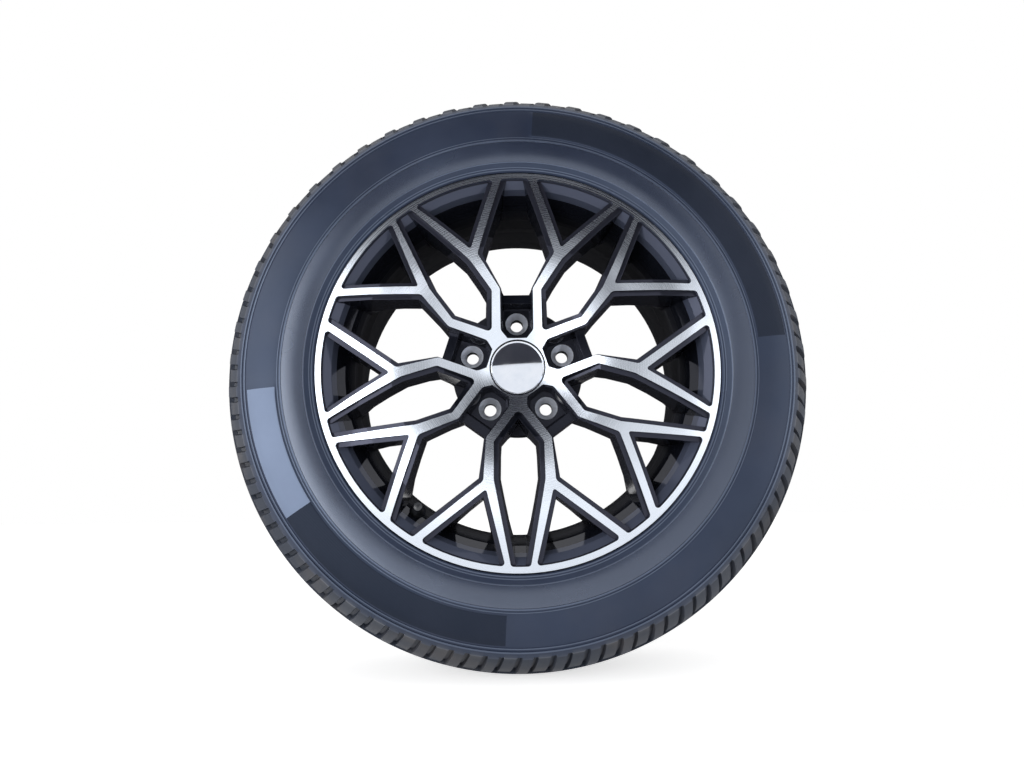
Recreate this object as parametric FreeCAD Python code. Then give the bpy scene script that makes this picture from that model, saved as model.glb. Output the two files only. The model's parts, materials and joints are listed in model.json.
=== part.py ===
import FreeCAD, Part
import math
import os

# A car wheel: a cast alloy wheel with its tyre, centre cap and snap-in inflation valve.
# Millimetres. The wheel spins about Y, its outer face looks along -Y and one bolt hole is straight up on +Z.

V = FreeCAD.Vector
ORIGIN = V(0, 0, 0)
SPIN = V(0, 1, 0)

# Rim and fixing
BEAD_SEAT_DIAMETER = 436.6
RIM_WIDTH = 190.5
FLANGE_HEIGHT = 17.3
FLANGE_THICKNESS = 12.5
FLANGE_CURVE = 9.5
RIM_WALL = 5.0
OFFSET = 48.0
BOLT_COUNT = 5
BOLT_CIRCLE = 114.3
BOLT_HOLE = 15.0
SEAT_WIDTH = 27.0
SEAT_ANGLE = 60.0
CENTRE_BORE = 73.1

# Spoked face
FACE_BULGE = 13.5
LEDGE_DEPTH = 4.5
LEDGE_INSET = 4.3
BACK_INSET = 9.5
SPOKE_DEPTH = 40.5
HUB_PAD_THICKNESS = 13.5
BRIDGE_SET_BACK = 18.0
CHANNEL_LEDGE = 1.3

# Tyre
TYRE_RADIUS = 355.65
SECTION_WIDTH = 231.0
TREAD_THICKNESS = 16.0
WALL_THICKNESS = 8.5
GROOVE_DEPTH = 7.0
GROOVE_WIDTH = 9.0
NOTCH_COUNT = 54
NOTCH_WIDTH = 5.0

# Centre cap
CAP_DIAMETER = 65.4
CAP_RING_WIDTH = 2.6
CAP_LEGS = 6
CAP_PLAY = 0.3
SPRING_WIRE = 2.0

# Valve
VALVE_ANGLE = 234.0
VALVE_LEAN = 15.0
VALVE_HOLE = 11.5
VALVE_WALL = 4.0
STEM_DIAMETER = 7.7
STEM_LENGTH = 27.0
VALVE_CAP_DIAMETER = 10.6

# Derived sizes. "Forward" is the distance in front of the rim's outer edge plane.
BEAD_R = BEAD_SEAT_DIAMETER / 2
LIP_R = BEAD_R + FLANGE_HEIGHT
HALF_WIDTH = RIM_WIDTH / 2 + FLANGE_THICKNESS
MOUNT_FORWARD = OFFSET - HALF_WIDTH
WELL_R = BEAD_R - 17.1
INNER_R = WELL_R - RIM_WALL
BOLT_R = BOLT_CIRCLE / 2
BORE_R = CENTRE_BORE / 2
SECTOR = 360.0 / BOLT_COUNT
CAP_R = CAP_DIAMETER / 2
RECESS_R = CAP_R + CAP_PLAY
CAP_HOLE_R = CAP_R - 3.0
RECESS_FLOOR = -20.0
CAP_WEB_BACK = RECESS_FLOOR - 9.0
BORE_FRONT = CAP_WEB_BACK - 7.0
EDGE_R = LIP_R - 8.0
HUB_R = BOLT_R + 21.0
HUB_FLOOR = MOUNT_FORWARD + HUB_PAD_THICKNESS
POCKET_FLOOR = MOUNT_FORWARD + 23.7


def at(radius, forward):
    """Point of the section plane at a radius and a distance in front of the rim's outer edge."""
    return V(radius, -HALF_WIDTH - forward, 0)


def turned(path, angle=360):
    """Solid of revolution about the spin axis. A step of the path is a point, or an arc's middle and end."""
    edges = []
    start = at(*path[0])
    here = start
    for step in path[1:]:
        if isinstance(step[0], tuple):
            middle, end = at(*step[0]), at(*step[1])
            edges.append(Part.Arc(here, middle, end).toShape())
        else:
            end = at(*step)
            edges.append(Part.makeLine(here, end))
        here = end
    edges.append(Part.makeLine(here, start))
    return Part.Face(Part.Wire(edges)).revolve(ORIGIN, SPIN, angle)


def spun(shape, angle):
    """Copy turned about the spin axis, clockwise as seen from the outer face."""
    copy = shape.copy()
    copy.rotate(ORIGIN, SPIN, angle)
    return copy


def polar(radius, angle):
    """Face point (across, up) at an angle clockwise from straight up."""
    a = math.radians(angle)
    return (radius * math.sin(a), radius * math.cos(a))


def mirrored(half):
    """Closed outline from its right half, which runs from the outer end to the inner end."""
    left = [(-u, v) for u, v in half if u > 0]
    return left + half[::-1]


def inset(outline, distance):
    """Outline moved inwards by a distance. The outline runs anticlockwise."""
    moved = []
    for i, (u, v) in enumerate(outline):
        before, after = outline[i - 1], outline[(i + 1) % len(outline)]
        a = V(before[1] - v, u - before[0], 0).normalize()
        b = V(v - after[1], after[0] - u, 0).normalize()
        reach = distance / (1 + a.dot(b))
        moved.append((u + (a.x + b.x) * reach, v + (a.y + b.y) * reach))
    return moved


def loop(outline, forward):
    """Closed polygon of a face outline at a distance in front of the rim's outer edge."""
    points = [V(u, -HALF_WIDTH - forward, v) for u, v in outline]
    return Part.makePolygon(points + points[:1])


def prism(outline, front, back):
    """Straight cut through a face outline."""
    return Part.Face(loop(outline, front)).extrude(V(0, front - back, 0))


def tapered(outline, front, front_inset, back, back_inset):
    """Cut that narrows from front to back, as a casting's draft does."""
    wires = [loop(inset(outline, front_inset), front), loop(inset(outline, back_inset), back)]
    return Part.makeLoft(wires, True, True)


def round_uprights(solid, radius, inner, outer):
    """Round the edges along the spin axis that lie between two radii."""
    chosen = []
    for edge in solid.Edges:
        p, q = edge.Vertexes[0].Point, edge.Vertexes[-1].Point
        upright = abs(p.x - q.x) < 1e-6 and abs(p.z - q.z) < 1e-6
        if upright and inner < math.hypot(p.x, p.z) < outer:
            chosen.append(edge)
    return solid.makeFillet(radius, chosen)


# The spoked face is turned, so its front is one arc about the spin axis.
FACE_ARC = Part.Arc(at(LIP_R - 0.7, 0), at(0.63 * LIP_R, FACE_BULGE), at(RECESS_R, -11.0)).toShape().Curve


def face_forward(radius):
    """How far the turned face stands in front of the rim's outer edge at a radius."""
    drop = math.sqrt(FACE_ARC.Radius ** 2 - (radius - FACE_ARC.Center.x) ** 2)
    return drop - FACE_ARC.Center.y - HALF_WIDTH


def on_face(radius, depth=0.0):
    """Section point on the turned face, or a depth behind it."""
    return (radius, face_forward(radius) - depth)


def bead_path(sign):
    """Bead seat and flange of one side, from the hump to the flange's outer edge."""
    middle = -HALF_WIDTH
    edge = HALF_WIDTH
    inner_face = RIM_WIDTH / 2
    heel = inner_face - 6.5
    steps = [
        (BEAD_R - 4.5, heel - 20.0),
        (BEAD_R - 0.3, heel - 17.5),
        (BEAD_R - 0.3, heel - 16.0),
        (BEAD_R - 1.3, heel - 14.0),
        (BEAD_R, heel),
        (BEAD_R + 2.0, inner_face - 2.0),
        (BEAD_R + 6.5, inner_face),
    ]
    for part in range(4):
        turn = math.radians(30.0 * part)
        steps.append((
            LIP_R - FLANGE_CURVE * (1 - math.sin(turn)),
            inner_face + FLANGE_CURVE * (1 - math.cos(turn)),
        ))
    steps.append((LIP_R, edge - 1.0))
    return [(r, middle + sign * a) for r, a in steps]


def reversed_path(path):
    """The same run of lines and arcs, from its last point to its first."""
    ends = [step[1] if isinstance(step[0], tuple) else step for step in path]
    steps = [ends[-1]]
    for i in range(len(path) - 1, 0, -1):
        if isinstance(path[i][0], tuple):
            steps.append((path[i][0], ends[i - 1]))
        else:
            steps.append(ends[i - 1])
    return steps


# Inside of the barrel's front, seen through the spokes
BARREL_FRONT = [
    (EDGE_R - 1.5, face_forward(EDGE_R) - LEDGE_DEPTH),
    (LIP_R - 17.9, -9.0),
    (LIP_R - 29.0, -32.6),
    (INNER_R + 1.7, -46.3),
    (INNER_R, -52.5),
]


def make_blank():
    """Rim, face and hub as one turned body, before the windows are cut."""
    rear = -2 * HALF_WIDTH
    rear_wall_r = BEAD_R - RIM_WALL
    path = [
        (BORE_R + 1.0, MOUNT_FORWARD),
        (HUB_R, MOUNT_FORWARD),
        (HUB_R + 5.0, MOUNT_FORWARD + 11.0),
        (0.45 * LIP_R, FACE_BULGE - SPOKE_DEPTH - 5.0),
        (0.56 * LIP_R, FACE_BULGE - SPOKE_DEPTH),
        (0.66 * LIP_R, FACE_BULGE - SPOKE_DEPTH),
        (0.75 * LIP_R, FACE_BULGE - SPOKE_DEPTH - 5.0),
        (INNER_R - 4.0, -46.0),
        (INNER_R, -54.0),
        (INNER_R, -84.0),
        (rear_wall_r - 7.0, -125.0),
        (rear_wall_r, rear + 30.0),
        (rear_wall_r + 0.7, rear),
        (LIP_R - 1.0, rear),
    ]
    path += reversed_path(bead_path(-1))
    path += [(WELL_R + 6.0, -110.0), (WELL_R, -90.0), (WELL_R, -52.0)]
    path += bead_path(1)
    path += [
        on_face(LIP_R - 0.7),
        (on_face(0.63 * LIP_R), on_face(RECESS_R)),
        (RECESS_R, RECESS_FLOOR),
        (CAP_HOLE_R, RECESS_FLOOR),
        (CAP_HOLE_R, CAP_WEB_BACK),
        (RECESS_R, CAP_WEB_BACK),
        (RECESS_R, BORE_FRONT),
        (BORE_R, BORE_FRONT),
        (BORE_R, MOUNT_FORWARD + 1.0),
    ]
    return turned(path)


def make_zones():
    """Room for the shallow edge cut in front of the ledge, and for the deep cut inside the barrel."""
    high = 60.0
    shallow = turned([
        (20.0, high),
        on_face(20.0, LEDGE_DEPTH),
        on_face(0.42 * EDGE_R, LEDGE_DEPTH),
        on_face(0.64 * EDGE_R, LEDGE_DEPTH),
        on_face(0.82 * EDGE_R, LEDGE_DEPTH),
        on_face(EDGE_R, LEDGE_DEPTH),
        (EDGE_R, high),
    ])
    deep = turned(
        [(20.0, high), (20.0, HUB_FLOOR), (HUB_R, HUB_FLOOR), (HUB_R + 6.0, -90.0), (INNER_R, -90.0)]
        + BARREL_FRONT[::-1]
        + [(EDGE_R - 1.5, high)]
    )
    return shallow, deep


def extended(inner, outer, radius):
    """Point on the line through two points, carried on to a height."""
    t = (radius - inner[1]) / (outer[1] - inner[1])
    return (inner[0] + (outer[0] - inner[0]) * t, radius)


def make_windows():
    """One bolt-axis window, one between-bolts window and the two small ones of a sector, as cutting bodies."""
    shallow, deep = make_zones()
    beyond = LIP_R + 15.0
    front, back = 25.0, -60.0

    # The wide window over a bolt hole narrows to a channel that runs down into the bolt pocket.
    kink = (45.0, 0.556 * LIP_R)
    end = (15.8, EDGE_R)
    channel_half = 19.2
    channel_foot = BOLT_R - 22.7
    shoulder = (channel_half, BOLT_R + 32.5)
    wide_edge = mirrored([
        extended(kink, end, beyond),
        kink,
        shoulder,
        (channel_half, channel_foot + 9.0),
        (11.5, channel_foot),
    ])
    wide_deep = mirrored([extended(kink, end, beyond), kink, (channel_half, BOLT_R + 24.5)])

    # The window between two bolt holes comes to a point near the hub.
    tip = (0.0, BOLT_R - 7.0)
    narrow_edge = mirrored([
        extended((29.0, 0.556 * LIP_R), (11.0, EDGE_R), beyond),
        (29.0, 0.556 * LIP_R),
        (28.6, BOLT_R + 31.0),
        tip,
    ])

    # The small window at the fork of a spoke
    apex = polar(0.6205 * LIP_R, 21.15)
    near_wide = polar(EDGE_R - 1.0, 6.4)
    near_narrow = polar(EDGE_R - 1.0, SECTOR / 2 - 4.4)
    stretch = 1.4
    fork = [apex]
    for corner in (near_narrow, near_wide):
        fork.append(tuple(a + (c - a) * stretch for a, c in zip(apex, corner)))

    cuts = []
    for outline, deep_outline, corner_r in (
        (wide_edge, wide_deep, 7.0),
        (narrow_edge, narrow_edge, 5.0),
        (fork, fork, 2.2),
    ):
        edge = prism(outline, front, back).common(shallow)
        edge = round_uprights(edge, corner_r, BOLT_R - 20.0, EDGE_R - 5.0)
        edge = round_uprights(edge, 4.0, EDGE_R - 5.0, EDGE_R + 5.0)
        core = tapered(deep_outline, front, LEDGE_INSET, back, BACK_INSET).common(deep)
        cuts.append((edge, core))
    mirror = [shape.mirror(ORIGIN, V(1, 0, 0)) for shape in cuts[2]]

    # Channel floor in front of the bridge, and the deeper bolt pocket with its seat
    channel = mirrored([
        (channel_half, BOLT_R + 36.0),
        (channel_half, channel_foot + 9.0),
        (11.5, channel_foot),
    ])
    channel_cut = prism(inset(channel, CHANNEL_LEDGE), front, -BRIDGE_SET_BACK)
    pocket = mirrored([
        (channel_half, BOLT_R + 22.5),
        (channel_half, channel_foot + 9.0),
        (11.5, channel_foot),
    ])
    pocket_cut = tapered(pocket, -BRIDGE_SET_BACK + 1.0, CHANNEL_LEDGE, POCKET_FLOOR, 4.0)
    return cuts, mirror, [channel_cut, pocket_cut]


def make_bolt_hole():
    """Bolt hole with its conical seat."""
    depth = (SEAT_WIDTH - BOLT_HOLE) / 2 / math.tan(math.radians(SEAT_ANGLE / 2))
    base = V(0, -HALF_WIDTH - POCKET_FLOOR, BOLT_R)
    bore = Part.makeCylinder(BOLT_HOLE / 2, 80.0, base - V(0, 20, 0), SPIN)
    seat = Part.makeCone(SEAT_WIDTH / 2, BOLT_HOLE / 2, depth, base, SPIN)
    mouth = Part.makeCylinder(SEAT_WIDTH / 2, 20.0, base - V(0, 20, 0), SPIN)
    return bore.fuse([seat, mouth])


# Valve frame: its own Z runs outwards along the stem from the rim's spot face.
VALVE_FACE = (BEAD_R - 13.3, -37.0)
VALVE_PLACE = FreeCAD.Placement(
    at(*VALVE_FACE),
    FreeCAD.Rotation(V(0, 0, 1), V(-math.sin(math.radians(VALVE_LEAN)), -math.cos(math.radians(VALVE_LEAN)), 0)),
)


def on_valve(shape):
    """Place a shape made on the valve's own axis into the wheel."""
    shape.Placement = VALVE_PLACE.multiply(shape.Placement)
    return spun(shape, -VALVE_ANGLE)


def valve_turned(path):
    """Solid of revolution about the valve's own Z, from (radius, height) points."""
    points = [V(r, 0, z) for r, z in path]
    face = Part.Face(Part.makePolygon(points + points[:1]))
    return face.revolve(ORIGIN, V(0, 0, 1), 360)


def make_alloy_wheel():
    cuts, mirror, pockets = make_windows()
    (wide_edge, wide_core), (narrow_edge, narrow_core), small = cuts
    tools = []
    for k in range(BOLT_COUNT):
        angle = k * SECTOR
        for shape in [wide_edge, wide_core, make_bolt_hole()] + pockets + list(small) + mirror:
            tools.append(spun(shape, angle))
        for shape in (narrow_edge, narrow_core):
            tools.append(spun(shape, angle + SECTOR / 2))
        hollow = Part.makeCylinder(11.0, 5.0, V(0, -OFFSET - 5.0, BOLT_R), SPIN)
        tools.append(spun(hollow, angle + SECTOR / 2))
    wheel = make_blank().cut(tools)

    boss = on_valve(Part.makeCylinder(10.0, 10.0, V(0, 0, -10.0)))
    wheel = wheel.fuse(boss.common(make_zones()[1]))
    spot = Part.makeCylinder(9.0, 16.0)
    hole = Part.makeCylinder(VALVE_HOLE / 2, 30.0, V(0, 0, -20.0))
    back = Part.makeCylinder(8.0, 14.0, V(0, 0, -VALVE_WALL - 14.0))
    return wheel.cut([on_valve(spot), on_valve(hole), on_valve(back)]).removeSplitter()


def make_tyre():
    """Hollow casing on the bead seats, with tread grooves and shoulder notches."""
    half = SECTION_WIDTH / 2
    crown = TYRE_RADIUS
    sidewall_r = LIP_R + 48.0
    outside = [
        (LIP_R + 0.7, half - 13.5),
        (LIP_R + 0.7, half - 8.3),
        (LIP_R + 2.4, half - 6.9),
        (LIP_R + 6.8, half - 6.4),
        (LIP_R + 8.0, half - 4.6),
        ((sidewall_r, half), (LIP_R + 82.4, half - 7.0)),
        (LIP_R + 90.0, half - 11.8),
        (crown - 24.0, half - 18.5),
        (crown - 17.6, half - 28.0),
        (crown - 11.4, half - 38.5),
        (crown - 6.0, half - 50.0),
        (crown - 2.3, half - 63.5),
    ]
    inside = [
        (BEAD_R + 8.0, half - 36.0),
        (LIP_R + 6.0, half - 17.5),
        (sidewall_r, half - WALL_THICKNESS),
        (LIP_R + 72.0, half - WALL_THICKNESS - 5.0),
        (crown - TREAD_THICKNESS - 14.0, half - 38.0),
        (crown - TREAD_THICKNESS - 2.5, half - 66.0),
    ]

    def side(sign):
        placed = bead_path(sign)[3:10]
        for step in outside:
            if isinstance(step[0], tuple):
                placed.append(tuple((r, -HALF_WIDTH + sign * a) for r, a in step))
            else:
                placed.append((step[0], -HALF_WIDTH + sign * step[1]))
        return placed

    front, rear = side(1), side(-1)
    path = front + [((crown, -HALF_WIDTH), rear[-1])] + reversed_path(rear)[1:]
    path += [(r, -HALF_WIDTH - a) for r, a in inside]
    path += [(r, -HALF_WIDTH + a) for r, a in reversed(inside)]
    casing = turned(path)

    tools = []
    for place in (-0.22, -0.07, 0.07, 0.22):
        middle = -HALF_WIDTH + place * SECTION_WIDTH
        low, high = crown - GROOVE_DEPTH - 8.0 * abs(place), crown + 5.0
        tools.append(turned([
            (low, middle - 0.35 * GROOVE_WIDTH),
            (high, middle - 0.5 * GROOVE_WIDTH),
            (high, middle + 0.5 * GROOVE_WIDTH),
            (low, middle + 0.35 * GROOVE_WIDTH),
        ]))
    for sign in (1, -1):
        notch_path = [
            (crown - 9.8, half - 56.0),
            (crown - 16.5, half - 42.0),
            (crown - 25.5, half - 24.5),
            (crown - 30.0, half - 10.0),
            (crown + 8.0, half - 10.0),
            (crown + 8.0, half - 56.0),
        ]
        corners = [at(r, -HALF_WIDTH + sign * a) + V(0, 0, -NOTCH_WIDTH / 2) for r, a in notch_path]
        notch = Part.Face(Part.makePolygon(corners + corners[:1])).extrude(V(0, 0, NOTCH_WIDTH))
        for k in range(NOTCH_COUNT):
            tools.append(spun(notch, (k + 0.25 * sign) * 360.0 / NOTCH_COUNT))
    return casing.cut(tools)


def make_centre_cap():
    """Cap body with its bright rim, six spring legs and their barbs."""
    ring_in = CAP_R - CAP_RING_WIDTH
    top = -12.6
    body = turned([
        (0.0, RECESS_FLOOR),
        (CAP_R, RECESS_FLOOR),
        (CAP_R, top - 1.8),
        (CAP_R - 0.5, top - 0.5),
        (CAP_R - 1.5, top),
        (ring_in, top - 1.0),
        (ring_in, RECESS_FLOOR + 3.0),
        (0.0, RECESS_FLOOR + 3.0),
    ])
    leg_r = CAP_HOLE_R - CAP_PLAY
    legs = turned([
        (leg_r - 2.4, RECESS_FLOOR),
        (leg_r, RECESS_FLOOR),
        (leg_r, CAP_WEB_BACK - CAP_PLAY),
        (leg_r + 1.4, CAP_WEB_BACK - CAP_PLAY),
        (leg_r + 1.4, CAP_WEB_BACK - 1.5),
        (leg_r - 0.6, CAP_WEB_BACK - 4.5),
        (leg_r - 2.4, CAP_WEB_BACK - 4.5),
    ])
    slots = []
    for k in range(CAP_LEGS):
        slot = Part.makeBox(13.0, 30.0, 10.0, V(-6.5, -HALF_WIDTH - RECESS_FLOOR, leg_r - 6.0))
        slots.append(spun(slot, k * 360.0 / CAP_LEGS))
    seat = turned(spring_section())
    return body.fuse(legs.cut(slots)).cut(seat).removeSplitter()


def spring_section():
    """Round wire's section, in eight straight steps, half sunk in the cap's legs."""
    ring_r = CAP_HOLE_R - CAP_PLAY - 2.4
    wire_r = SPRING_WIRE / 2
    steps = []
    for k in range(8):
        turn = math.radians(45.0 * k + 22.5)
        steps.append((ring_r + wire_r * math.cos(turn), CAP_WEB_BACK + 1.0 + wire_r * math.sin(turn)))
    return steps


def make_spring_ring():
    """Open wire ring that presses the cap's legs outwards."""
    return spun(turned(spring_section(), 335), 10.0)


def make_cap_disc():
    """Plain domed disc set in the cap's rim."""
    radius = CAP_R - CAP_RING_WIDTH
    floor = RECESS_FLOOR + 3.0
    edge = floor + 2.4
    rise = 1.0
    ball = (radius ** 2 + rise ** 2) / (2 * rise)
    middle = edge + rise - ball + math.sqrt(ball ** 2 - radius ** 2 / 4)
    return turned([
        (0.0, floor),
        (radius, floor),
        (radius, edge),
        ((radius / 2, middle), (0.0, edge + rise)),
    ])


def make_valve():
    """Rubber body, brass stem, screw-in core and dust cap, each on the valve's own axis."""
    stem_r = STEM_DIAMETER / 2
    bonded_r = stem_r - 0.3
    bore_r = 2.0
    core_r = 2.6
    rubber_top = STEM_LENGTH - 9.0
    seat = STEM_LENGTH - 8.5
    inner_end = -VALVE_WALL - 7.0
    rubber = valve_turned([
        (bonded_r, inner_end),
        (5.6, inner_end),
        (7.4, -VALVE_WALL - 2.0),
        (7.4, -VALVE_WALL),
        (VALVE_HOLE / 2, -VALVE_WALL),
        (VALVE_HOLE / 2, 0.0),
        (7.9, 0.0),
        (7.9, 2.6),
        (6.3, 8.0),
        (5.2, rubber_top),
        (bonded_r, rubber_top),
    ])
    stem = valve_turned([
        (bore_r, inner_end),
        (bonded_r, inner_end),
        (bonded_r, rubber_top),
        (stem_r, rubber_top),
        (stem_r, STEM_LENGTH - 0.6),
        (stem_r - 0.6, STEM_LENGTH),
        (core_r, STEM_LENGTH),
        (core_r, seat),
        (bore_r, seat - 1.5),
    ])
    pin_r = 0.5
    chamber_r = 1.25
    barrel_r = 1.65
    barrel_low = seat - 6.5
    core_top = seat + 6.0
    core = valve_turned([
        (pin_r + 0.2, barrel_low),
        (barrel_r, barrel_low),
        (barrel_r, seat - 0.2),
        (core_r, seat + 1.0),
        (core_r, core_top),
        (1.5, core_top),
        (1.5, seat + 1.0),
        (chamber_r, seat + 1.0),
        (chamber_r, barrel_low + 0.6),
        (pin_r + 0.2, barrel_low + 0.6),
    ])
    gasket = valve_turned([
        (barrel_r, seat - 1.5),
        (bore_r, seat - 1.5),
        (core_r, seat),
        (core_r, seat + 1.0),
        (barrel_r, seat - 0.2),
    ])
    collar = seat - 0.4
    pin = valve_turned([
        (0.0, barrel_low - 2.6),
        (pin_r, barrel_low - 2.6),
        (pin_r, collar),
        (1.0, collar),
        (1.0, collar + 0.8),
        (pin_r, collar + 0.8),
        (pin_r, STEM_LENGTH - 0.7),
        (0.0, STEM_LENGTH - 0.7),
    ])
    seal = valve_turned([
        (pin_r, barrel_low - 0.8),
        (1.45, barrel_low - 0.8),
        (1.45, barrel_low),
        (pin_r + 0.2, barrel_low),
        (pin_r, barrel_low - 0.2),
    ])
    cup = valve_turned([
        (pin_r, barrel_low - 2.0),
        (1.7, barrel_low - 2.0),
        (1.7, barrel_low - 0.05),
        (1.45, barrel_low - 0.05),
        (1.45, barrel_low - 0.8),
        (pin_r, barrel_low - 0.8),
    ])
    wire_r = 0.14
    coil_r = 0.85
    low, high = barrel_low + 0.6 + wire_r, collar - wire_r
    helix = Part.makeHelix((high - low) / 4.0, high - low, coil_r)
    helix.translate(V(0, 0, low))
    corners = [V(coil_r + a * wire_r, 0, low + b * wire_r) for a, b in ((1, 1), (-1, 1), (-1, -1), (1, -1))]
    profile = Part.makePolygon(corners + corners[:1])
    spring = Part.Wire(helix).makePipeShell([profile], True, True)
    cap_r = VALVE_CAP_DIAMETER / 2
    cap_low = rubber_top + 0.3
    roof = STEM_LENGTH + 1.3
    cap = valve_turned([
        (stem_r + 0.05, cap_low),
        (cap_r, cap_low),
        (cap_r, roof + 1.0),
        (cap_r - 1.6, roof + 2.8),
        (0.0, roof + 2.8),
        (0.0, roof),
        (stem_r + 0.05, roof),
    ])
    washer = valve_turned([(0.0, STEM_LENGTH), (stem_r - 0.1, STEM_LENGTH), (stem_r - 0.1, roof), (0.0, roof)])
    return {
        "valve_rubber": rubber,
        "valve_stem": stem,
        "valve_core_body": core,
        "valve_core_gasket": gasket,
        "valve_core_pin": pin,
        "valve_core_seal": seal,
        "valve_core_cup": cup,
        "valve_core_spring": spring,
        "valve_cap": cap,
        "valve_cap_washer": washer,
    }


os.makedirs("parts", exist_ok=True)
pieces = {
    "alloy_wheel": make_alloy_wheel(),
    "tyre": make_tyre(),
    "centre_cap": make_centre_cap(),
    "centre_cap_disc": make_cap_disc(),
    "centre_cap_spring": make_spring_ring(),
}
for name, shape in make_valve().items():
    pieces[name] = on_valve(shape)
for name, shape in pieces.items():
    shape.exportStep("parts/" + name + ".step")
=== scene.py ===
import json
import math
import bpy
import numpy as np
from mathutils import Matrix, Vector


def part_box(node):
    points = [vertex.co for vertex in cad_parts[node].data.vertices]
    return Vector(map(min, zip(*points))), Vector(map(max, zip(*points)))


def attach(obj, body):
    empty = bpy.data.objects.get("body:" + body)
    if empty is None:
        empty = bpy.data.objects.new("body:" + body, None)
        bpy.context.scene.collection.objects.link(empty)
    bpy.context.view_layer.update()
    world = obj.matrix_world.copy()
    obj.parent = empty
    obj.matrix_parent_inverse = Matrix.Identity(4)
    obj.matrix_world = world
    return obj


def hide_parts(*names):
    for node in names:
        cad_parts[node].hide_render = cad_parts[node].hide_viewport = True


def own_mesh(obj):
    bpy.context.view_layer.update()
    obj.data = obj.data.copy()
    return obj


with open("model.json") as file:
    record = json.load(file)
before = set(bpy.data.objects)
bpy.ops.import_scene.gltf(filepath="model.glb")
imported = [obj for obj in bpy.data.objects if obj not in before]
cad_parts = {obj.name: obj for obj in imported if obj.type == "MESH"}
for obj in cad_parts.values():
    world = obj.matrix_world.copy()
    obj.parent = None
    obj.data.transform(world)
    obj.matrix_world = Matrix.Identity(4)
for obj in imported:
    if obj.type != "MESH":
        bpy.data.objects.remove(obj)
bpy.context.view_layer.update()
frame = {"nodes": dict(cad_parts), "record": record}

# Metres, in the frame of the solids: the wheel spins about Y and its face looks along -Y.
MM = 0.001

# Sizes that the solids give
WHEEL_LOW, WHEEL_HIGH = (Vector(corner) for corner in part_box("alloy_wheel"))
TYRE_LOW, TYRE_HIGH = (Vector(corner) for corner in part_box("tyre"))
LIP_R = WHEEL_HIGH.x
RIM_HALF = WHEEL_HIGH.y
CROWN_R = TYRE_HIGH.x
TYRE_HALF = -TYRE_LOW.y
FLOOR_Z = TYRE_LOW.z

# Three points of the turned face, as (radius, y)
FACE_POINTS = (
    (LIP_R - 0.7 * MM, -RIM_HALF),
    (0.63 * LIP_R, WHEEL_LOW.y),
    (33.0 * MM, -RIM_HALF + 11.0 * MM),
)

# How far from the turned face its metal reaches, and how square to it a surface has to lie
FACE_REACH = 0.7 * MM
FACE_SQUARE = 0.95

# Ledge behind the face's edges, where a paler colour is painted as a reflection: depth, spread, how
# square to the face it has to lie, and its metal share
LEDGE_DEPTH = 4.5 * MM
LEDGE_SPREAD = 1.2 * MM
LEDGE_SQUARE = 0.8
LEDGE_METAL = 0.3

# Conical bolt seats: count, circle, outer radius, their normal's y with its spread, and their finish
BOLTS = 5
BOLT_R = 57.15 * MM
SEAT_R = 13.6 * MM
SEAT_SLOPE = -0.5
SEAT_SLOPE_SPREAD = 0.25
SEAT_METAL = 0.6
SEAT_ROUGH = 0.42

# Front of the barrel just behind the lip, where a paler colour is painted as a reflection: smallest
# radius, last y, and most outward share of its normal
THROAT_R = LIP_R - 22.0 * MM
THROAT_END = -RIM_HALF + 30.0 * MM
THROAT_OUTWARD = -0.4

# Where the gloss paint fades into the duller paint of the barrel, along y, and how rough that one is
GLOSS_END = -75.0 * MM
DULL_START = -50.0 * MM
BARREL_ROUGH = 0.85

# Colours of the wheel, and the scale of the lines that turning leaves on its face
BARE_DARK = (0.52, 0.57, 0.65, 1)
BARE_PALE = (0.74, 0.79, 0.87, 1)
PAINT_BLACK = (0.006, 0.007, 0.011, 1)
PAINT_FLAKE = (0.022, 0.025, 0.036, 1)
PAINT_TINT = (0.72, 0.76, 1.0, 1)
BARREL_BLACK = (0.015, 0.015, 0.017, 1)
# Painted reflection on the barrel's front just behind the lip
PAINTED_THROAT_REFLECTION = (0.060, 0.070, 0.105, 1)
# Painted reflection along the ledges behind the face's edges
PAINTED_LEDGE_SHEEN = (0.030, 0.032, 0.046, 1)
SEAT_PALE = (0.80, 0.83, 0.90, 1)
TURNED_LINES = 1500.0

# Colours that all rubber shares
RUBBER_TINT = (0.58, 0.72, 1.0, 1)
DUST_BROWN = (0.16, 0.135, 0.11, 1)

# Centre cap's domed disc: rise and colours
DISC_RISE = 1.0 * MM
DISC_DARK = (0.74, 0.79, 0.88, 1)
DISC_PALE = (0.80, 0.84, 0.92, 1)

# Range in which most values of a noise lie, and the part of it in which a metal's marks fade
NOISE_LOW = 0.3
NOISE_HIGH = 0.7
MARKS_LOW = 0.35
MARKS_HIGH = 0.65

# Spring of the valve core, along the valve's own axis
SPRING_LOW = -9.4 * MM
SPRING_HIGH = -3.9 * MM
SPRING_R = 0.85 * MM
SPRING_WIRE_R = 0.14 * MM
SPRING_TURNS = 6
SPRING_CLOSED_TURNS = 0.75
SPRING_STEPS_PER_TURN = 32
SPRING_WIRE_SIDES = 8

# Dust cap: start along the valve's axis, ribs, and outline as (radius, height, whether ribbed) in mm
CAP_START = -3.7 * MM
CAP_RIBS = 20
CAP_RIB_RISE = 0.28
CAP_OUTLINE = (
    (3.92, 0.0, False),
    (5.0, 0.0, False),
    (5.25, 0.4, False),
    (5.0, 1.2, True),
    (5.0, 9.2, True),
    (5.2, 10.6, False),
    (4.9, 11.8, False),
    (3.6, 12.7, False),
    (0.6, 12.8, False),
    (0.6, 10.1, False),
    (3.92, 10.0, False),
)

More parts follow.
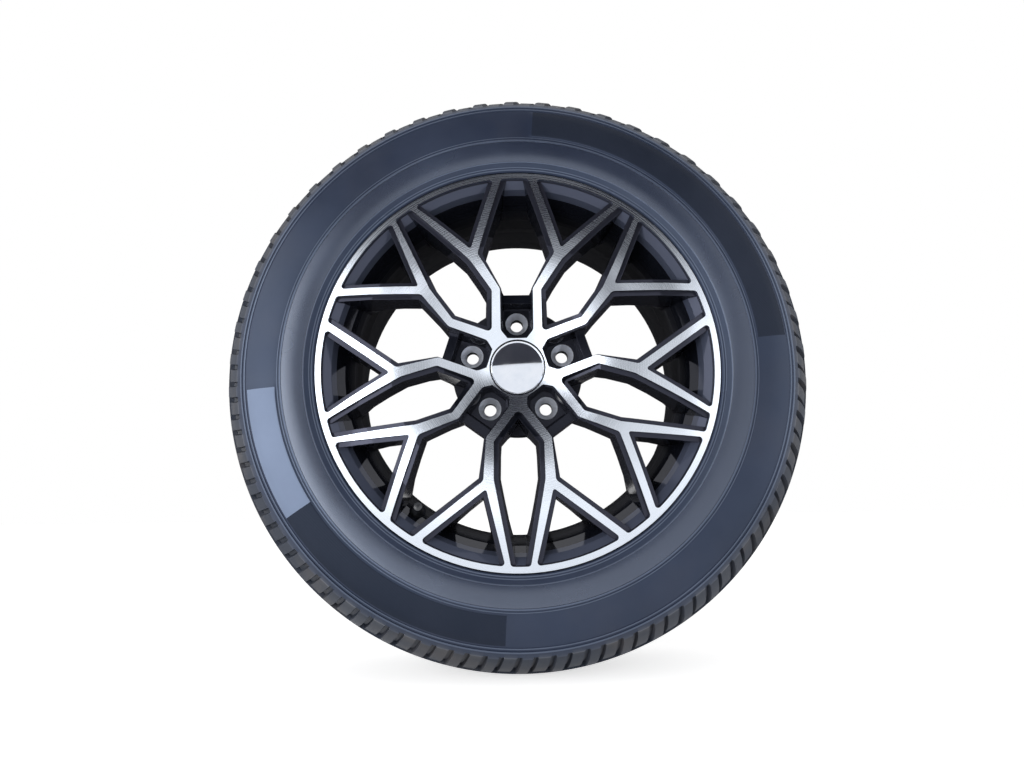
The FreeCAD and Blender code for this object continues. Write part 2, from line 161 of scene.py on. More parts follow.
# Tread: repeats round the tyre, and where in a repeat the columns, the cuts and the raised block lie
TREAD_REPEATS = 54
COLUMNS = (0.0, 0.18, 0.35, 0.38, 0.49, 0.52, 0.67, 0.82, 0.85, 0.96, 0.99)
FIRST_CUT = (0.38, 0.49)
SECOND_CUT = (0.85, 0.96)
BLOCK = (0.52, 0.82)

# Tread depths in mm
BLOCK_RISE = 1.8
SHOULDER_CUT = 6.0
RIB_CUT = 3.2
MIDDLE_CUT = 0.7 * RIB_CUT

# Lean of the pattern in degrees over a width, and where it starts from the tyre's side, both in mm
LEAN = -1.6
LEAN_WIDTH = 50.0
LEAN_START = 12.0

# Crown of the tread: drop at a distance from the middle, and the grooves' places and steps, all in mm
CROWN_DROP = 2.3
CROWN_DROP_AT = 52.0
INNER_GROOVE = 16.2
OUTER_GROOVE = 50.8
GROOVE_STEPS = ((4.6, 0.0), (4.1, 0.6), (3.2, 7.0), (-3.2, 7.0), (-4.1, 0.6), (-4.6, 0.0))
RIB_ROWS = (41.0, 34.0, 27.0)
MIDDLE_ROWS = (7.0, 0.0)
TREAD_KINDS = ("shoulder", "rib", "middle", "groove")

# Shoulder blocks: where beyond the lip they start, and the height over which they grow, in mm
SHOULDER_START = 90.5
SHOULDER_GROWTH = 4.0

# Steps between the points of the sidewall's and the shoulder's curves, and rows of the plain sidewall
WALL_STEPS = 40
SHOULDER_STEPS = 2
WALL_ROWS = 9

# Sidewall rings as (radius, half width, height) in mm, and how much wider their feet are
RINGS = (
    (238.6, 0.7, 0.5),
    (241.3, 0.6, 0.4),
    (247.5, 0.5, 0.35),
    (273.4, 0.9, 0.9),
    (276.6, 0.5, 0.5),
    (315.2, 0.7, 0.9),
    (319.4, 0.9, 1.1),
)
RING_FOOT = 1.6
POLISHED_RADII = (243.0, 272.4)

# Sidewall panels: sizes in mm, first and last angles in degrees, and how early their colour starts; the
# plain panel on the left gets a pale colour that is a painted sheen
PANEL_RADII = (279.0, 312.0)
PANEL_EDGE = 0.5
PANEL_HEIGHT = 0.45
DARK_PANELS = ((6.0, 86.0), (213.0, 267.0))
PLAIN_PANELS = ((184.5, 213.0),)
PANEL_AHEAD = 0.5

# Material slots of the tyre
WALL_SLOT, HATCHED_SLOT, PLAIN_SLOT, TREAD_SLOT, POLISHED_SLOT, RING_SLOT = range(6)

# Slack for comparing sizes in mm, and angles in degrees past which an edge is sharp
SLACK = 1e-6
TYRE_SHARP = 32.0
CAP_SHARP = 35.0

# Floor: half its side, gap under the tyre, colour, and the glow that the camera and reflections see
FLOOR_HALF = 8.0
FLOOR_GAP = 0.2 * MM
FLOOR_PALE = (0.86, 0.86, 0.86, 1)
FLOOR_GLOW = 0.66

# Surroundings: strength for diffuse light, and for what the camera and reflections see
WORLD_LIGHT = 0.5
WORLD_SEEN = 1.0
WHITE = (1, 1, 1, 1)

# Square lamps as (name, place, power, side)
LAMPS = (
    ("key", (-1.9, -1.75, 0.40), 29.0, 2.0),
    ("front", (-0.95, -2.2, 0.12), 13.0, 1.1),
    ("fill", (2.2, -1.2, 0.5), 12.0, 2.0),
)

# Dark cards as (name, place, direction they face, half width, half height), and their colour
CARDS = (
    ("card_front", (-0.95, -1.9, 1.62), (-0.5, 1.9, -1.62), 1.25, 1.45),
    ("card_right", (1.5, -1.9, 2.0), (-0.5, 1.9, -1.62), 1.2, 1.1),
    ("card_back", (0.0, 1.5, 0.25), (0.0, -1.5, -0.25), 1.7, 1.1),
    ("card_floor", (0.0, 0.80, FLOOR_Z + 1.0 * MM), (0.0, 0.0, 1.0), 1.2, 0.66),
)
CARD_BLACK = (0.03, 0.03, 0.04, 1)

# Camera: place, turn in degrees, and lens for a frame of a width in mm
CAMERA_AT = (-0.0076, -0.9772, -0.1545)
CAMERA_TURN = (98.685, 0.895, 0.088)
CAMERA_LENS = 26.806
CAMERA_FRAME = 36.0


class Shader:
    """Short way to build a node material."""

    def __init__(self, name):
        self.material = bpy.data.materials.new(name)
        self.material.use_nodes = True
        self.tree = self.material.node_tree
        self.surface = self.tree.nodes["Principled BSDF"]

    def node(self, kind, **settings):
        made = self.tree.nodes.new("ShaderNode" + kind)
        for key, value in settings.items():
            setattr(made, key, value)
        return made

    def link(self, output, target):
        self.tree.links.new(output, target)

    def feed(self, socket, value):
        if isinstance(value, bpy.types.NodeSocket):
            self.link(value, socket)
        else:
            socket.default_value = value

    def math(self, operation, a, b=0.0, c=0.0):
        made = self.node("Math", operation=operation)
        for socket, value in zip(made.inputs, (a, b, c)):
            self.feed(socket, value)
        return made.outputs[0]

    def times(self, a, b):
        return self.math("MULTIPLY", a, b)

    def length(self, a, b):
        return self.math("SQRT", self.math("ADD", self.times(a, a), self.times(b, b)))

    def split(self, vector):
        made = self.node("SeparateXYZ")
        self.link(vector, made.inputs[0])
        return made.outputs

    def join(self, *parts):
        made = self.node("CombineXYZ")
        for socket, value in zip(made.inputs, parts):
            self.feed(socket, value)
        return made.outputs[0]

    def dot(self, a, b):
        made = self.node("VectorMath", operation="DOT_PRODUCT")
        self.link(a, made.inputs[0])
        self.link(b, made.inputs[1])
        return made.outputs["Value"]

    def mix(self, factor, a, b, kind="FLOAT"):
        made = self.node("Mix", data_type=kind)
        first, second, result = {"FLOAT": (2, 3, 0), "VECTOR": (4, 5, 1), "RGBA": (6, 7, 2)}[kind]
        self.feed(made.inputs[0], factor)
        self.feed(made.inputs[first], a)
        self.feed(made.inputs[second], b)
        return made.outputs[result]

    def blend(self, factor, a, b):
        return self.mix(factor, a, b, "RGBA")

    def place(self):
        return self.node("TexCoord").outputs["Object"]

    def true_normal(self):
        return self.node("NewGeometry").outputs["True Normal"]

    def noise(self, scale, detail=4.0):
        made = self.node("TexNoise")
        made.inputs["Scale"].default_value = scale
        made.inputs["Detail"].default_value = detail
        self.link(self.place(), made.inputs["Vector"])
        return made.outputs["Fac"]

    def spread(self, value, low, high, out_low=0.0, out_high=1.0):
        made = self.node("MapRange")
        made.inputs["From Min"].default_value = low
        made.inputs["From Max"].default_value = high
        made.inputs["To Min"].default_value = out_low
        made.inputs["To Max"].default_value = out_high
        self.link(value, made.inputs["Value"])
        return made.outputs["Result"]

    def vary(self, noise, low, high):
        return self.spread(noise, NOISE_LOW, NOISE_HIGH, low, high)

    def bump(self, height, distance, strength, normal=None):
        made = self.node("Bump")
        made.inputs["Distance"].default_value = distance
        made.inputs["Strength"].default_value = strength
        self.link(height, made.inputs["Height"])
        if normal:
            self.link(normal, made.inputs["Normal"])
        return made.outputs["Normal"]

    def soft_edges(self, radius):
        made = self.node("Bevel", samples=4)
        made.inputs["Radius"].default_value = radius
        return made.outputs["Normal"]

    def set(self, **inputs):
        names = {"color": "Base Color", "metal": "Metallic", "rough": "Roughness", "normal": "Normal"}
        for key, value in inputs.items():
            self.feed(self.surface.inputs[names[key]], value)
        return self.material


def face_arc():
    """Middle (radius, y) and radius of the turned face's arc."""
    (ax, ay), (bx, by), (cx, cy) = FACE_POINTS
    d = 2 * (ax * (by - cy) + bx * (cy - ay) + cx * (ay - by))
    a2, b2, c2 = ax * ax + ay * ay, bx * bx + by * by, cx * cx + cy * cy
    x = (a2 * (by - cy) + b2 * (cy - ay) + c2 * (ay - by)) / d
    y = (a2 * (cx - bx) + b2 * (ax - cx) + c2 * (bx - ax)) / d
    return x, y, math.hypot(ax - x, ay - y)


def face_masks(s, x, y, z, radius):
    """Masks of the turned face and of the ledge behind its edges, which gets a painted reflection, and
    the face's own normal.
    """
    arc_r, arc_y, arc_radius = face_arc()
    out = s.math("SUBTRACT", radius, arc_r)
    fore = s.math("SUBTRACT", y, arc_y)
    reach = s.length(out, fore)
    share = s.math("DIVIDE", s.math("DIVIDE", out, radius), reach)
    turned = s.join(s.times(x, share), s.math("DIVIDE", fore, reach), s.times(z, share))
    facing = s.dot(turned, s.true_normal())
    behind = s.math("SUBTRACT", arc_radius, reach)
    near = s.math("LESS_THAN", s.math("ABSOLUTE", behind), FACE_REACH)
    face = s.times(near, s.math("GREATER_THAN", facing, FACE_SQUARE))
    stepped = s.math("COMPARE", behind, LEDGE_DEPTH, LEDGE_SPREAD)
    ledge = s.times(stepped, s.math("GREATER_THAN", facing, LEDGE_SQUARE))
    return face, ledge, turned


def seat_mask(s, x, z, radius):
    """Mask of the conical bolt seats."""
    turn = s.math("PINGPONG", s.math("ARCTAN2", x, z), math.pi / BOLTS)
    along = s.math("SUBTRACT", s.times(radius, s.math("COSINE", turn)), BOLT_R)
    aside = s.times(radius, s.math("SINE", turn))
    slope = s.split(s.true_normal())[1]
    cone = s.math("COMPARE", slope, SEAT_SLOPE, SEAT_SLOPE_SPREAD)
    return s.times(s.math("LESS_THAN", s.length(along, aside), SEAT_R), cone)


def throat_reflection_mask(s, x, y, z, radius):
    """Mask of the barrel's front, which looks inward just behind the lip, where a reflection is painted.
    """
    normal = s.split(s.true_normal())
    outward = s.math("DIVIDE", s.math("ADD", s.times(x, normal[0]), s.times(z, normal[2])), radius)
    inward = s.math("LESS_THAN", outward, THROAT_OUTWARD)
    wide = s.math("GREATER_THAN", radius, THROAT_R)
    return s.times(s.times(inward, wide), s.math("LESS_THAN", y, THROAT_END))


def alloy_material():
    """Turned bare metal on the face, gloss black in the pockets, duller black inside the barrel, and
    painted reflections on the barrel's front and on the ledges.
    """
    s = Shader("alloy")
    x, y, z = s.split(s.place())
    radius = s.length(x, z)
    face, ledge, turned = face_masks(s, x, y, z, radius)
    seat = seat_mask(s, x, z, radius)
    inside = s.spread(y, GLOSS_END, DULL_START)

    lines = s.node("TexNoise", noise_dimensions="1D")
    lines.inputs["Scale"].default_value = TURNED_LINES
    lines.inputs["Detail"].default_value = 3.0
    s.link(radius, lines.inputs["W"])
    cut = lines.outputs["Fac"]
    patches = s.noise(scale=9.0, detail=2.0)
    flakes = s.spread(s.noise(scale=2600.0, detail=1.0), 0.6, 0.75)

    paint = s.blend(inside, s.blend(flakes, PAINT_BLACK, PAINT_FLAKE), BARREL_BLACK)
    # Painted reflection: a paler grey on the barrel's front just behind the lip
    paint = s.blend(throat_reflection_mask(s, x, y, z, radius), paint, PAINTED_THROAT_REFLECTION)
    # Painted reflection: a paler grey on the ledges behind the face's edges
    paint = s.blend(ledge, paint, PAINTED_LEDGE_SHEEN)
    paint = s.blend(seat, paint, SEAT_PALE)
    metal = s.math("MAXIMUM", face, s.times(seat, SEAT_METAL))
    metal = s.math("MAXIMUM", metal, s.times(ledge, LEDGE_METAL))
    paint_rough = s.mix(inside, s.vary(patches, 0.05, 0.10), BARREL_ROUGH)
    metal_rough = s.math("ADD", s.vary(cut, 0.20, 0.30), s.vary(patches, -0.02, 0.03))
    ripples = s.noise(scale=260.0, detail=1.0)
    peel = s.bump(ripples, distance=0.05 * MM, strength=0.25, normal=s.soft_edges(0.9 * MM))
    grain = s.bump(cut, distance=0.02 * MM, strength=0.35, normal=turned)

    tangent = s.node("Tangent", direction_type="RADIAL", axis="Y")
    s.link(tangent.outputs[0], s.surface.inputs["Tangent"])
    s.surface.inputs["Anisotropic"].default_value = 0.55
    s.surface.inputs["Specular IOR Level"].default_value = 0.3
    s.surface.inputs["Specular Tint"].default_value = PAINT_TINT
    return s.set(
        color=s.blend(face, paint, s.blend(cut, BARE_DARK, BARE_PALE)),
        metal=metal,
        rough=s.mix(face, s.mix(seat, paint_rough, SEAT_ROUGH), metal_rough),
        normal=s.mix(face, peel, grain, "VECTOR"),
    )


def rubber_material(name, color, rough, dust=0.0, hatch=0.0, shine=0.5, polish=0.0):
    """Moulded rubber with fine grain, paler dust in patches and, where asked, moulded hatching."""
    s = Shader(name)
    grain = s.noise(scale=900.0, detail=3.0)
    clouds = s.noise(scale=7.0, detail=5.0)
    height = grain
    if hatch:
        wave = s.node("TexWave", wave_type="BANDS", bands_direction="DIAGONAL")
        wave.inputs["Scale"].default_value = hatch
        s.link(s.place(), wave.inputs["Vector"])
        height = s.math("ADD", s.times(grain, 0.2), wave.outputs["Fac"])
    s.surface.inputs["Specular IOR Level"].default_value = shine
    s.surface.inputs["Specular Tint"].default_value = RUBBER_TINT
    s.surface.inputs["Coat Weight"].default_value = polish
    s.surface.inputs["Coat Roughness"].default_value = 0.2
    pale = tuple(min(1.0, 1.35 * c + 0.006) for c in color)
    tone = s.blend(s.spread(clouds, 0.35, 0.7), (*color, 1), (*pale, 1))
    if dust:
        dusty = s.spread(s.noise(scale=16.0, detail=6.0), 0.45, 0.75)
        tone = s.blend(s.times(dusty, dust), tone, DUST_BROWN)
    return s.set(
        color=tone,
        rough=s.vary(clouds, rough - 0.06, rough + 0.08),
        normal=s.bump(height, distance=0.12 * MM, strength=0.4),
    )


def metal_material(name, color, rough):
    """Plated or bare metal with faint handling marks."""
    s = Shader(name)
    marks = s.noise(scale=140.0, detail=6.0)
    darker = tuple(0.86 * c for c in color)
    return s.set(
        color=s.blend(s.spread(marks, MARKS_LOW, MARKS_HIGH), (*darker, 1), (*color, 1)),
        metal=1.0,
        rough=s.vary(marks, rough, rough + 0.06),
        normal=s.soft_edges(0.25 * MM),
    )


def disc_material():
    """Mirror plate on the cap's domed disc."""
    s = Shader("cap_mirror")
    disc_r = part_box("centre_cap_disc")[1][0]
    ball = (disc_r**2 + DISC_RISE**2) / (2 * DISC_RISE)
    x, _, z = s.split(s.place())
    marks = s.noise(scale=90.0, detail=6.0)
    return s.set(
        color=s.blend(s.spread(marks, MARKS_LOW, MARKS_HIGH), DISC_DARK, DISC_PALE),
        metal=1.0,
        rough=s.vary(marks, 0.03, 0.06),
        normal=s.join(s.math("DIVIDE", x, ball), -1.0, s.math("DIVIDE", z, ball)),
    )


def plastic_material(name, color, rough):
    """Moulded plastic with a fine spark-eroded grain."""
    s = Shader(name)
    grain = s.noise(scale=2200.0, detail=2.0)
    paler = tuple(1.3 * c for c in color)
    return s.set(
        color=s.blend(s.noise(scale=60.0), (*color, 1), (*paler, 1)),
        rough=rough,
        normal=s.bump(grain, distance=0.03 * MM, strength=0.4, normal=s.soft_edges(0.2 * MM)),
    )


def add_object(mesh):
    """New object in the scene, with the mesh's name."""
    made = bpy.data.objects.new(mesh.name, mesh)
    bpy.context.scene.collection.objects.link(made)
    return made


def smooth_mesh(name, points, faces, place=None):
    """New mesh of smooth faces, moved to its place where one is given."""
    mesh = bpy.data.meshes.new(name)
    mesh.from_pydata(points, [], faces)
    mesh.polygons.foreach_set("use_smooth", np.ones(len(faces), bool))
    if place is not None:
        mesh.transform(place)
    return mesh


def smooth_through(points, steps):
    """Points of a smooth curve through the given (radius, across) points."""
    p = np.array(points, float)
    p = np.vstack([2 * p[0] - p[1], p, 2 * p[-1] - p[-2]])
    out = []
    for k in range(1, len(p) - 2):
        a, b, c, d = p[k - 1 : k + 3]
        for t in np.linspace(0, 1, steps, endpoint=False):
            square = (2 * a - 5 * b + 4 * c - d) * t**2
            cube = (3 * b - a - 3 * c + d) * t**3
            out.append(0.5 * (2 * b + (c - a) * t + square + cube))
    return np.array(out + [p[-2]])


def bead_rows(lip, half):
    """Rows of the bead, from its toe to the rim's lip."""
    points = (
        (lip - 18.6, half - 40.9),
        (lip - 17.3, half - 26.9),
        (lip - 10.8, half - 20.4),
        (lip - 9.5, half - 20.4),
        (lip - 3.4, half - 18.0),
        (lip + 0.7, half - 13.7),
        (lip + 0.7, half - 8.5),
    )
    return [(r, a, "bead") for r, a in points]


def wall_rows(lip, half):
    """Rows of the sidewall, with more of them by the rings and panels."""
    points = (
        (lip + 2.2, half - 7.1),
        (lip + 6.8, half - 6.0),
        (lip + 20.0, half - 2.4),
        (lip + 46.0, half - 0.7),
        (lip + 66.0, half - 2.4),
        (lip + 82.4, half - 7.0),
        (lip + 90.0, half - 11.8),
    )
    wall = smooth_through(points, WALL_STEPS)
    radii = set(np.linspace(wall[0, 0], wall[-1, 0], WALL_ROWS))
    for ring, width, _ in RINGS:
        foot = RING_FOOT * width
        radii.update((ring - foot, ring - width, ring + width, ring + foot))
    for edge in PANEL_RADII:
        radii.update((edge - PANEL_EDGE, edge + PANEL_EDGE))
    return [(r, float(np.interp(r, wall[:, 0], wall[:, 1])), "wall") for r in sorted(radii)]


def tread_rows(lip, crown, half):
    """Rows of the shoulder, the grooves and the ribs up to the middle of the tread."""
    points = (
        (lip + 90.0, half - 11.8),
        (crown - 24.0, half - 18.7),
        (crown - 17.6, half - 28.2),
        (crown - 11.4, half - 38.7),
        (crown - 6.0, half - 50.2),
        (crown - 2.8, half - 60.0),
    )
    rows = [(r, a, "shoulder") for r, a in smooth_through(points, SHOULDER_STEPS)[1:]]

    def height(across):
        return crown - CROWN_DROP * (across / CROWN_DROP_AT) ** 2

    for groove, after, kind in ((OUTER_GROOVE, RIB_ROWS, "rib"), (INNER_GROOVE, MIDDLE_ROWS, "middle")):
        rows += [(height(groove + step) - depth, groove + step, "groove") for step, depth in GROOVE_STEPS]
        rows += [(height(across), across, kind) for across in after]
    return rows


def tyre_rows():
    """Closed loop of the tyre's rows as (radius, across, kind) in mm: front, rear and lining."""
    lip, crown, half = LIP_R / MM, CROWN_R / MM, TYRE_HALF / MM
    outside = bead_rows(lip, half) + wall_rows(lip, half) + tread_rows(lip, crown, half)
    lining = (
        (lip - 9.0, half - 36.0),
        (lip + 6.0, half - 17.7),
        (lip + 48.0, half - 8.7),
        (lip + 72.0, half - 13.7),
        (crown - 30.0, half - 38.2),
        (crown - 18.5, half - 66.2),
    )
    rows = [(r, -a, kind) for r, a, kind in outside]
    rows += reversed(outside[:-1])
    rows += [(r, a, "lining") for r, a in lining]
    rows += [(r, -a, "lining") for r, a in reversed(lining)]
    return rows


def within(angle, spans):
    """Whether an angle in degrees lies in one of the spans."""
    return any(first <= angle <= last for first, last in spans)


class TyreColumns:
    """Columns round the tyre: their angles, and which part of the pattern each lies in."""

    def __init__(self):
        repeats = range(TREAD_REPEATS)
        self.turns = np.array([(k + c) * 360.0 / TREAD_REPEATS for k in repeats for c in COLUMNS])
        part = np.tile(COLUMNS, TREAD_REPEATS)
        self.first, self.second, self.block = (
            (part >= start) & (part <= end) for start, end in (FIRST_CUT, SECOND_CUT, BLOCK)
        )
        self.panel = self.lie_in(DARK_PANELS + PLAIN_PANELS)
        self.dark = self.lie_in(DARK_PANELS, PANEL_AHEAD)
        self.plain = self.lie_in(PLAIN_PANELS, PANEL_AHEAD)

    def lie_in(self, spans, ahead=0.0):
        return np.array([within(turn + ahead, spans) for turn in self.turns])


def row_relief(row, columns):
    """Height in mm of the moulded relief along one row."""
    r, _, kind = row
    height = np.zeros(len(columns.turns))
    if kind == "wall":
        height += sum(rise for ring, width, rise in RINGS if abs(r - ring) <= width + SLACK)
        if PANEL_RADII[0] < r < PANEL_RADII[1]:
            height += PANEL_HEIGHT * columns.panel
    if kind == "shoulder":
        cut = columns.first | columns.second
        growth = min(1.0, max(0.0, (r - LIP_R / MM - SHOULDER_START) / SHOULDER_GROWTH))
        height -= SHOULDER_CUT * growth * cut
        height -= BLOCK_RISE * growth * ~(columns.block | cut)
    if kind == "rib":
        height -= RIB_CUT * columns.first
    if kind == "middle":
        height -= MIDDLE_CUT * columns.second
    return height


def row_slots(row, after, columns):
    """Material slots of the faces between one row and the row after it."""
    r, a, kind = row
    if kind in TREAD_KINDS:
        return TREAD_SLOT
    if kind != "wall":
        return WALL_SLOT
    if any(max(abs(r - ring), abs(after[0] - ring)) <= width + SLACK for ring, width, _ in RINGS):
        return RING_SLOT
    if POLISHED_RADII[0] < r < POLISHED_RADII[1]:
        return POLISHED_SLOT
    if PANEL_RADII[0] < r < PANEL_RADII[1] and a < 0:
        return np.where(columns.dark, HATCHED_SLOT, np.where(columns.plain, PLAIN_SLOT, WALL_SLOT))
    return WALL_SLOT


def tyre_points(rows, columns):
    """Grid of points in mm, one line of it for each row."""
    profile = np.array([(r, a) for r, a, _ in rows])
    ahead = np.roll(profile, -1, axis=0) - np.roll(profile, 1, axis=0)
    ahead /= np.hypot(ahead[:, 0], ahead[:, 1])[:, None]
    points = np.zeros((len(rows), len(columns.turns), 3))
    for i, row in enumerate(rows):
        r, a, kind = row
        height = row_relief(row, columns)
        lean = 0.0
        if kind in TREAD_KINDS:
            lean = LEAN * (TYRE_HALF / MM - abs(a) - LEAN_START) / LEAN_WIDTH
        angle = np.radians(columns.turns + lean)
        raised = r + ahead[i, 1] * height
        points[i, :, 0] = raised * np.cos(angle)
        points[i, :, 1] = a - ahead[i, 0] * height
        points[i, :, 2] = raised * np.sin(angle)
    return points


def build_tyre(materials):
    """Closed tyre: bead, sidewall rings and panels, shoulder blocks, ribs, grooves and lining."""
    rows = tyre_rows()
    columns = TyreColumns()
    grid = tyre_points(rows, columns)
    points = grid.reshape(-1, 3)
    index = np.arange(len(points)).reshape(grid.shape[:2])
    up, side = np.roll(index, -1, axis=0), np.roll(index, -1, axis=1)
    faces = np.stack([index, side, np.roll(up, -1, axis=1), up], axis=-1).reshape(-1, 4)
    slots = np.zeros(index.shape, np.int32)
    for i, row in enumerate(rows):
        slots[i] = row_slots(row, rows[(i + 1) % len(rows)], columns)

    mesh = smooth_mesh("tyre_moulded", points * MM, faces.tolist())
    for material in materials:
        mesh.materials.append(material)
    mesh.polygons.foreach_set("material_index", slots.reshape(-1))
    mesh.validate()
    mesh.set_sharp_from_angle(angle=math.radians(TYRE_SHARP))
    a, b, c = (points[faces[:, k]] for k in range(3))
    volume = np.einsum("ij,ij->i", a, np.cross(b, c)).sum()
    if volume < 0:
        mesh.flip_normals()
    tyre = add_object(mesh)
    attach(tyre, "wheel")
    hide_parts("tyre")


def joint_named(name):
    """Joint of the frame's record."""
    return next(joint for joint in frame["record"]["behaviour"]["joints"] if joint["name"] == name)


def valve_place():
    """Place of the valve, whose own Z runs out along its stem; the cap's joint gives it."""
    joint = joint_named("cap_turn")
    turn = Vector(joint["axis"]).normalized().to_track_quat("Z", "Y")
    return Matrix.Translation(joint["pos_m"]) @ turn.to_matrix().to_4x4()


def ring_faces(rings, sides):
    """Faces between each ring of points and the next one given."""
    faces = []
    for a, b in zip(rings, rings[1:]):
        for k in range(sides):
            after = (k + 1) % sides
            faces.append((a * sides + k, a * sides + after, b * sides + after, b * sides + k))
    return faces


def spring_points(steps):
    """Rings of points along the coil's wire, in the valve's own axes."""
    rise = SPRING_HIGH - SPRING_LOW - 2 * SPRING_WIRE_R
    open_turns = SPRING_TURNS - 2 * SPRING_CLOSED_TURNS
    points = []
    for i in range(steps + 1):
        turns = i / steps * SPRING_TURNS
        climbed = min(1.0, max(0.0, (turns - SPRING_CLOSED_TURNS) / open_turns))
        middle = SPRING_LOW + SPRING_WIRE_R + rise * climbed
        turn = 2 * math.pi * turns
        for k in range(SPRING_WIRE_SIDES):
            around = 2 * math.pi * k / SPRING_WIRE_SIDES
            r = SPRING_R + SPRING_WIRE_R * math.cos(around)
            z = middle + SPRING_WIRE_R * math.sin(around)
            points.append((r * math.cos(turn), r * math.sin(turn), z))
    return points


def build_core_spring(material):
    """Coil spring under the valve core's pin."""
    steps = SPRING_TURNS * SPRING_STEPS_PER_TURN
    sides = SPRING_WIRE_SIDES
    faces = ring_faces(range(steps + 1), sides)
    faces.append(tuple(reversed(range(sides))))
    faces.append(tuple(range(steps * sides, steps * sides + sides)))
    place = valve_place()
    mesh = smooth_mesh("valve_core_coil", spring_points(steps), faces, place)
    mesh.materials.append(material)
    coil = add_object(mesh)
    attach(coil, "wheel")
    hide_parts("valve_core_spring")
    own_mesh(coil)


def build_valve_cap(material):
    """Ribbed dust cap on the valve's axis."""
    columns = CAP_RIBS * 4
    points = []
    for r, z, ribbed in CAP_OUTLINE:
        for k in range(columns):
            angle = 2 * math.pi * k / columns
            on_rib = ribbed and k % 4 in (1, 2)
            reach = (r + CAP_RIB_RISE * on_rib) * MM
            points.append((reach * math.cos(angle), reach * math.sin(angle), CAP_START + z * MM))
    faces = ring_faces([*range(len(CAP_OUTLINE)), 0], columns)
    mesh = smooth_mesh("valve_cap_ribbed", points, faces, valve_place())
    mesh.set_sharp_from_angle(angle=math.radians(CAP_SHARP))
    mesh.materials.append(material)
    cap = add_object(mesh)
    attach(cap, "dust_cap")
    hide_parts("valve_cap")


def paint_node(node, material):
    """Give a solid of the frame its material."""
    mesh = frame["nodes"][node].data
    mesh.materials.clear()
    mesh.materials.append(material)


def dress():
    """Materials on the solids, and the pieces that stand for some of them."""
    rubber = rubber_material("rubber_small", (0.030, 0.031, 0.035), 0.5)
    brass = metal_material("brass", (0.78, 0.62, 0.34), 0.25)
    steel = metal_material("spring_steel", (0.56, 0.56, 0.58), 0.28)
    paint_node("alloy_wheel", alloy_material())
    paint_node("centre_cap", metal_material("cap_bright", (0.80, 0.83, 0.88), 0.08))
    paint_node("centre_cap_disc", disc_material())
    paint_node("centre_cap_spring", steel)
    for node in ("valve_rubber", "valve_core_gasket", "valve_core_seal", "valve_cap_washer"):
        paint_node(node, rubber)
    for node in ("valve_stem", "valve_core_body", "valve_core_pin", "valve_core_cup"):
        paint_node(node, brass)
    build_core_spring(steel)
    build_tyre([
        rubber_material("tyre_wall", (0.016, 0.022, 0.042), 0.36, dust=0.06),
        rubber_material("tyre_hatched", (0.009, 0.012, 0.022), 0.55, hatch=180.0, shine=0.3),
        # Pale colour on the plain panel: a painted sheen
        rubber_material("tyre_panel_painted_sheen", (0.16, 0.20, 0.29), 0.40),
        rubber_material("tyre_tread", (0.027, 0.031, 0.042), 0.60, dust=0.35, shine=0.35),
        rubber_material("tyre_polished", (0.014, 0.020, 0.040), 0.24, shine=1.0, polish=0.9),
        # Paler colour on the sidewall rings: a painted highlight along them
        rubber_material("tyre_ring_painted_sheen", (0.060, 0.074, 0.110), 0.30, shine=0.8),
    ])
    build_valve_cap(plastic_material("valve_cap", (0.040, 0.042, 0.048), 0.28))


def flat_mesh(name, wide, high):
    """Flat rectangle round the origin, facing Z."""
    mesh = bpy.data.meshes.new(name)
    corners = [(-wide, -high, 0), (wide, -high, 0), (wide, high, 0), (-wide, high, 0)]
    mesh.from_pydata(corners, [], [(0, 1, 2, 3)])
    return mesh


def seen_rays(tree):
    """Socket that is 1 for what the camera sees, directly, in reflections or through clear pieces."""
    rays = tree.nodes.new("ShaderNodeLightPath").outputs
    seen = rays["Is Camera Ray"]
    for kind in ("Is Glossy Ray", "Is Transmission Ray"):
        either = tree.nodes.new("ShaderNodeMath")
        either.operation = "MAXIMUM"
        tree.links.new(seen, either.inputs[0])
        tree.links.new(rays[kind], either.inputs[1])
        seen = either.outputs[0]
    return seen


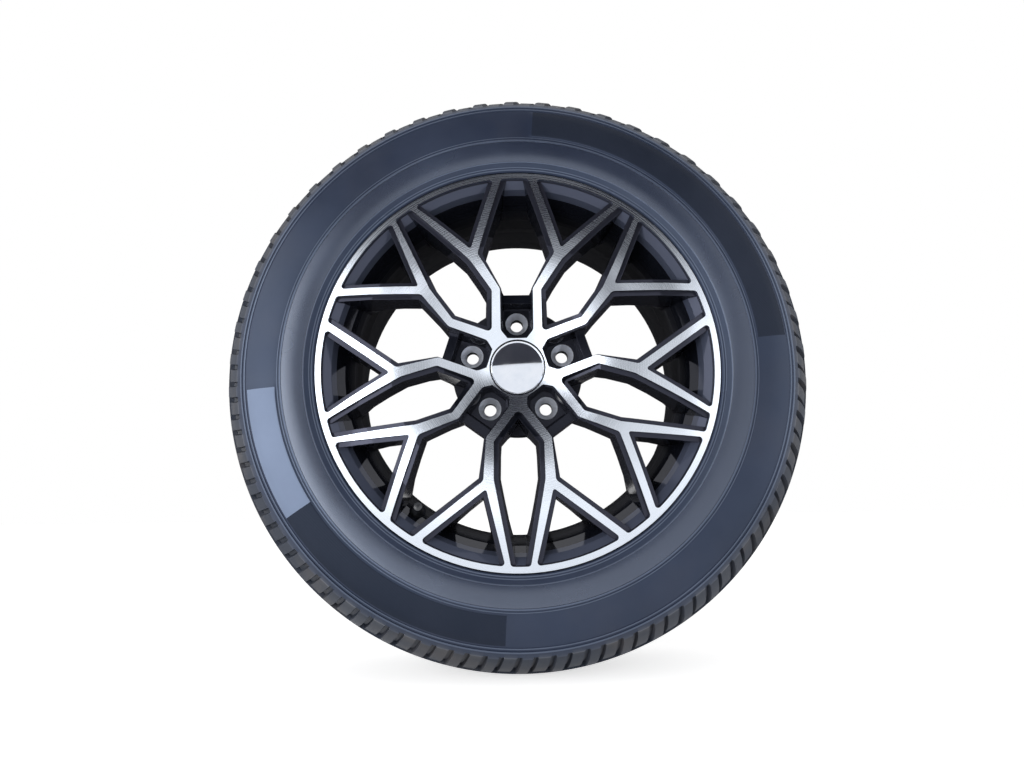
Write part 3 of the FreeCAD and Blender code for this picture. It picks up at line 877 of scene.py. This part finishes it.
def build_floor():
    """Plain pale floor that keeps the shadow and looks white."""
    mesh = flat_mesh("floor", FLOOR_HALF, FLOOR_HALF)
    floor = add_object(mesh)
    floor.location.z = FLOOR_Z - FLOOR_GAP
    s = Shader("floor")
    s.link(s.times(seen_rays(s.tree), FLOOR_GLOW), s.surface.inputs["Emission Strength"])
    s.surface.inputs["Emission Color"].default_value = WHITE
    mesh.materials.append(s.set(color=FLOOR_PALE, rough=0.9))


def build_world():
    """Even surroundings that look white and light the object more softly."""
    world = bpy.data.worlds.new("studio")
    bpy.context.scene.world = world
    world.use_nodes = True
    tree = world.node_tree
    level = tree.nodes.new("ShaderNodeMapRange")
    level.inputs["To Min"].default_value = WORLD_LIGHT
    level.inputs["To Max"].default_value = WORLD_SEEN
    tree.links.new(seen_rays(tree), level.inputs["Value"])
    background = tree.nodes["Background"]
    background.inputs["Color"].default_value = WHITE
    tree.links.new(level.outputs["Result"], background.inputs["Strength"])


def build_lamps():
    """Broad lamps on the left, in front and on the right, all turned to the wheel's middle."""
    for name, at, power, side in LAMPS:
        data = bpy.data.lights.new(name, "AREA")
        data.energy = power
        data.size = side
        lamp = bpy.data.objects.new(name, data)
        lamp.location = at
        lamp.rotation_euler = (-Vector(at)).to_track_quat("-Z", "Y").to_euler()
        bpy.context.scene.collection.objects.link(lamp)


def build_dark_cards():
    """Dark cards above the camera, behind the wheel and on the floor, which only reflections show."""
    paper = Shader("dark_card").set(color=CARD_BLACK, rough=0.9)
    for name, at, toward, wide, high in CARDS:
        mesh = flat_mesh(name, wide, high)
        mesh.materials.append(paper)
        card = add_object(mesh)
        card.location = at
        card.rotation_euler = Vector(toward).to_track_quat("Z", "Y").to_euler()
        card.visible_camera = False
        card.visible_diffuse = False
        card.visible_shadow = False
        card.visible_transmission = False


def build_camera():
    """Camera in front of the wheel's face, below its middle and tilted up a little."""
    data = bpy.data.cameras.new("camera")
    data.sensor_width = CAMERA_FRAME
    data.sensor_fit = "HORIZONTAL"
    data.lens = CAMERA_LENS
    camera = bpy.data.objects.new("camera", data)
    camera.location = CAMERA_AT
    camera.rotation_euler = [math.radians(angle) for angle in CAMERA_TURN]
    bpy.context.scene.collection.objects.link(camera)
    bpy.context.scene.camera = camera


dress()
build_floor()
build_world()
build_lamps()
build_dark_cards()
build_camera()
bpy.context.scene.view_settings.view_transform = "Standard"
